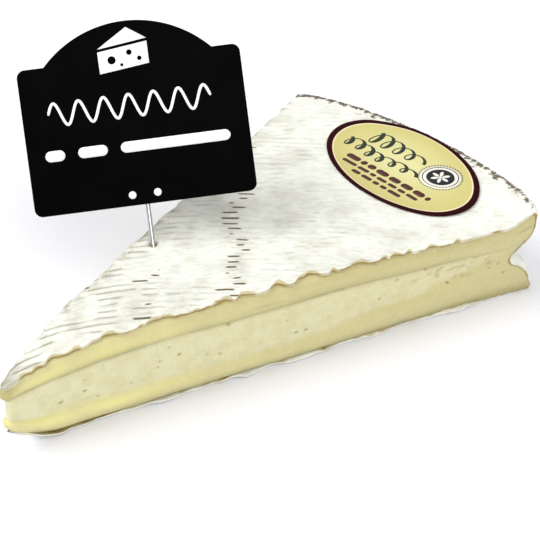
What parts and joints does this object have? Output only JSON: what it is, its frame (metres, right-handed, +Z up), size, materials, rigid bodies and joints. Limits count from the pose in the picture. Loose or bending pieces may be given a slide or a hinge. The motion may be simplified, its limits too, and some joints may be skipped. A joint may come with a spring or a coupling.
{
  "type": "cut wedge of soft cheese with counter sign",
  "caption": "Wedge cut from a flat soft cheese with a white bloomy rind, with an oval paper label and a black counter sign on a pin.",
  "frame": {"origin": "on the surface the wedge rests on, under the centroid of its plan", "axes": "+X along the wedge from its tip to the middle of the rim, +Z up, away from the resting face"},
  "size_m": [0.1829, 0.1168, 0.0893],
  "materials": {
    "bloomy_rind": "matte",
    "ripe_paste": "satin",
    "label_paper": "satin",
    "sign_plastic": "satin",
    "sign_print": "satin",
    "holder_plastic": "satin",
    "pin_steel": "polished"
  },
  "bodies": {
    "root": {"cheese_wedge": "bloomy_rind", "oval_label": "label_paper", "sign_board": "sign_plastic", "pin_holder": "holder_plastic", "sign_pin": "pin_steel"}
  },
  "joints": []
}
